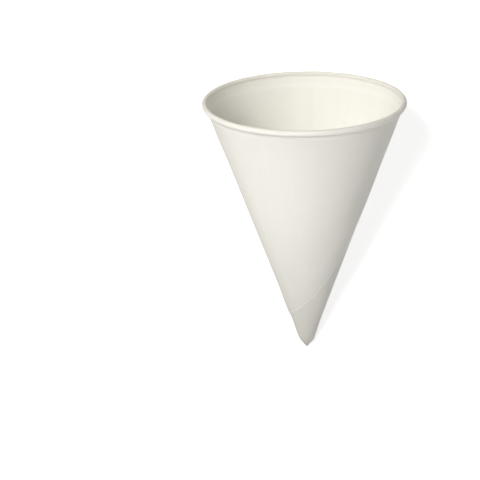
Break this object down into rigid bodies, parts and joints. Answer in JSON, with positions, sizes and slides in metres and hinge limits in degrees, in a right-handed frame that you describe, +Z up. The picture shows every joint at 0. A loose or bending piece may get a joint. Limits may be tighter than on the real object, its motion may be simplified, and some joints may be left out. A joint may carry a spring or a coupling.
{
  "type": "cone paper cup",
  "caption": "Cone-shaped drinking cup of wound white paper, with an outward-rolled rim, a glued lap and a crimped blunt tip, lying on its side.",
  "frame": {"origin": "on the surface that the cup lies on, under the middle of its length and width", "axes": "+Y from the tip towards the mouth, level; +Z up; the cup's own axis rises 20.9 degrees from +Y towards +Z"},
  "size_m": [0.0724, 0.0992, 0.0677],
  "materials": {
    "paper": "matt uncoated off-white paper"
  },
  "bodies": {
    "root": {"paper_cup": "paper"}
  },
  "joints": []
}
